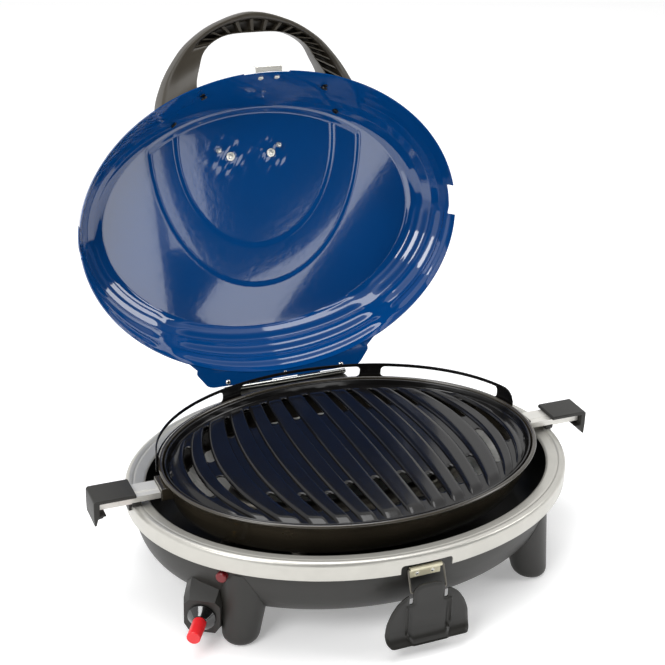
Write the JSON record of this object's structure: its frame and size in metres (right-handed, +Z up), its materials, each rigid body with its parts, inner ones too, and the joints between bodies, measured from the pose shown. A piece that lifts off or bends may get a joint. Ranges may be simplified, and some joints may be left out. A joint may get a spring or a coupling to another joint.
{
  "type": "folding gas camp grill",
  "caption": "Oval portable gas grill on short legs with a slotted cooking plate in a lift-out pan, slide-out grips, a hinged domed lid with arched handle and a front toggle latch.",
  "frame": {"origin": "on the ground, under the middle of the rest bounding box with the lid open", "axes": "+X to the right side seen from the latch, +Y to the hinge at the back, +Z up"},
  "size_m": [0.5724, 0.5437, 0.5231],
  "materials": {
    "enamel": "gloss black enamel",
    "bowl_paint": "satin dark grey paint",
    "rim_silver": "satin silver paint",
    "lid_blue": "gloss blue enamel",
    "chrome": "bright plated",
    "steel": "plain",
    "tray_aluminium": "bright rolled",
    "brass": "machined",
    "black_plastic": "satin",
    "gloss_black": "gloss",
    "handle_plastic": "satin taupe grey",
    "red_plastic": "semi gloss",
    "dark_red": "semi gloss",
    "ceramic": "glazed"
  },
  "bodies": {
    "base": {"bowl": "bowl_paint", "rim_ring": "rim_silver", "leg_front_left": "bowl_paint", "leg_front_right": "bowl_paint", "leg_rear_left": "bowl_paint", "leg_rear_right": "bowl_paint", "reflector_tray": "tray_aluminium", "tray_stand_left": "steel", "tray_stand_right": "steel", "burner_ring": "steel", "burner_post": "steel", "mixing_tube": "steel", "spark_electrode": "ceramic", "valve_housing": "bowl_paint", "valve_body": "brass", "inlet_nipple": "brass", "gas_jet": "brass", "nozzle_collar": "gloss_black", "igniter_body": "black_plastic", "hinge_bracket": "bowl_paint", "hinge_base_leaf": "chrome", "hinge_pin": "steel", "latch_plate": "chrome", "latch_rivet_left": "chrome", "latch_rivet_right": "chrome"},
    "pan": {"pan_shell": "enamel", "guard_rail": "enamel", "channel_bracket_left": "enamel", "channel_bracket_right": "enamel", "outer_channel_left": "chrome", "outer_channel_right": "chrome", "channel_foot_left": "black_plastic", "channel_foot_right": "black_plastic"},
    "plate": {"grill_plate": "enamel"},
    "grip_left": {"grip_rail_left": "chrome", "grip_cap_left": "black_plastic"},
    "grip_right": {"grip_rail_right": "chrome", "grip_cap_right": "black_plastic"},
    "lid": {"lid_shell": "lid_blue", "hinge_lid_leaf": "chrome", "lid_rivet_1": "chrome", "lid_rivet_2": "chrome", "lid_rivet_3": "chrome", "latch_keeper": "chrome", "keeper_rivet_left": "chrome", "keeper_rivet_right": "chrome", "lid_handle": "handle_plastic", "handle_screw_lower_left": "black_plastic", "handle_screw_lower_right": "black_plastic", "handle_screw_upper_left": "black_plastic", "handle_screw_upper_right": "black_plastic", "badge_stud_left": "chrome", "badge_stud_right": "chrome", "badge_screw_left": "chrome", "badge_screw_right": "chrome", "lid_badge": "chrome"},
    "bail": {"latch_bail": "chrome"},
    "lever": {"latch_lever": "black_plastic"},
    "button": {"igniter_button": "dark_red"},
    "cap": {"inlet_cap": "red_plastic"}
  },
  "joints": [
    {"name": "lid_hinge", "type": "hinge", "parent": "base", "child": "lid", "pos_m": [0, 0.13, 0.1122], "axis": [1, 0, 0], "range_deg": [0, 101.05]},
    {"name": "pan_lift", "type": "slide", "parent": "base", "child": "pan", "axis": [0, 0, -1], "range_m": [-0.06, 0]},
    {"name": "plate_lift", "type": "slide", "parent": "pan", "child": "plate", "axis": [0, 0, -1], "range_m": [-0.04, 0]},
    {"name": "grip_left_slide", "type": "slide", "parent": "pan", "child": "grip_left", "axis": [1, 0, 0], "range_m": [0, 0.02]},
    {"name": "grip_right_slide", "type": "slide", "parent": "pan", "child": "grip_right", "axis": [-1, 0, 0], "range_m": [0, 0.02]},
    {"name": "latch_bail_hinge", "type": "hinge", "parent": "base", "child": "bail", "pos_m": [0, -0.2475, 0.0905], "axis": [1, 0, 0], "range_deg": [-15, 0]},
    {"name": "latch_lever_hinge", "type": "hinge", "parent": "bail", "child": "lever", "pos_m": [0, -0.257, 0.0694], "axis": [-1, 0, 0], "range_deg": [0, 180]},
    {"name": "igniter_press", "type": "slide", "parent": "base", "child": "button", "axis": [0.6879, 0.7258, 0], "range_m": [0, 0.003], "stiffness_N_per_m": 400, "springref_m": -0.001},
    {"name": "inlet_cap_pull", "type": "slide", "parent": "base", "child": "cap", "axis": [-0.53, -0.848, 0], "range_m": [0, 0.04]}
  ]
}
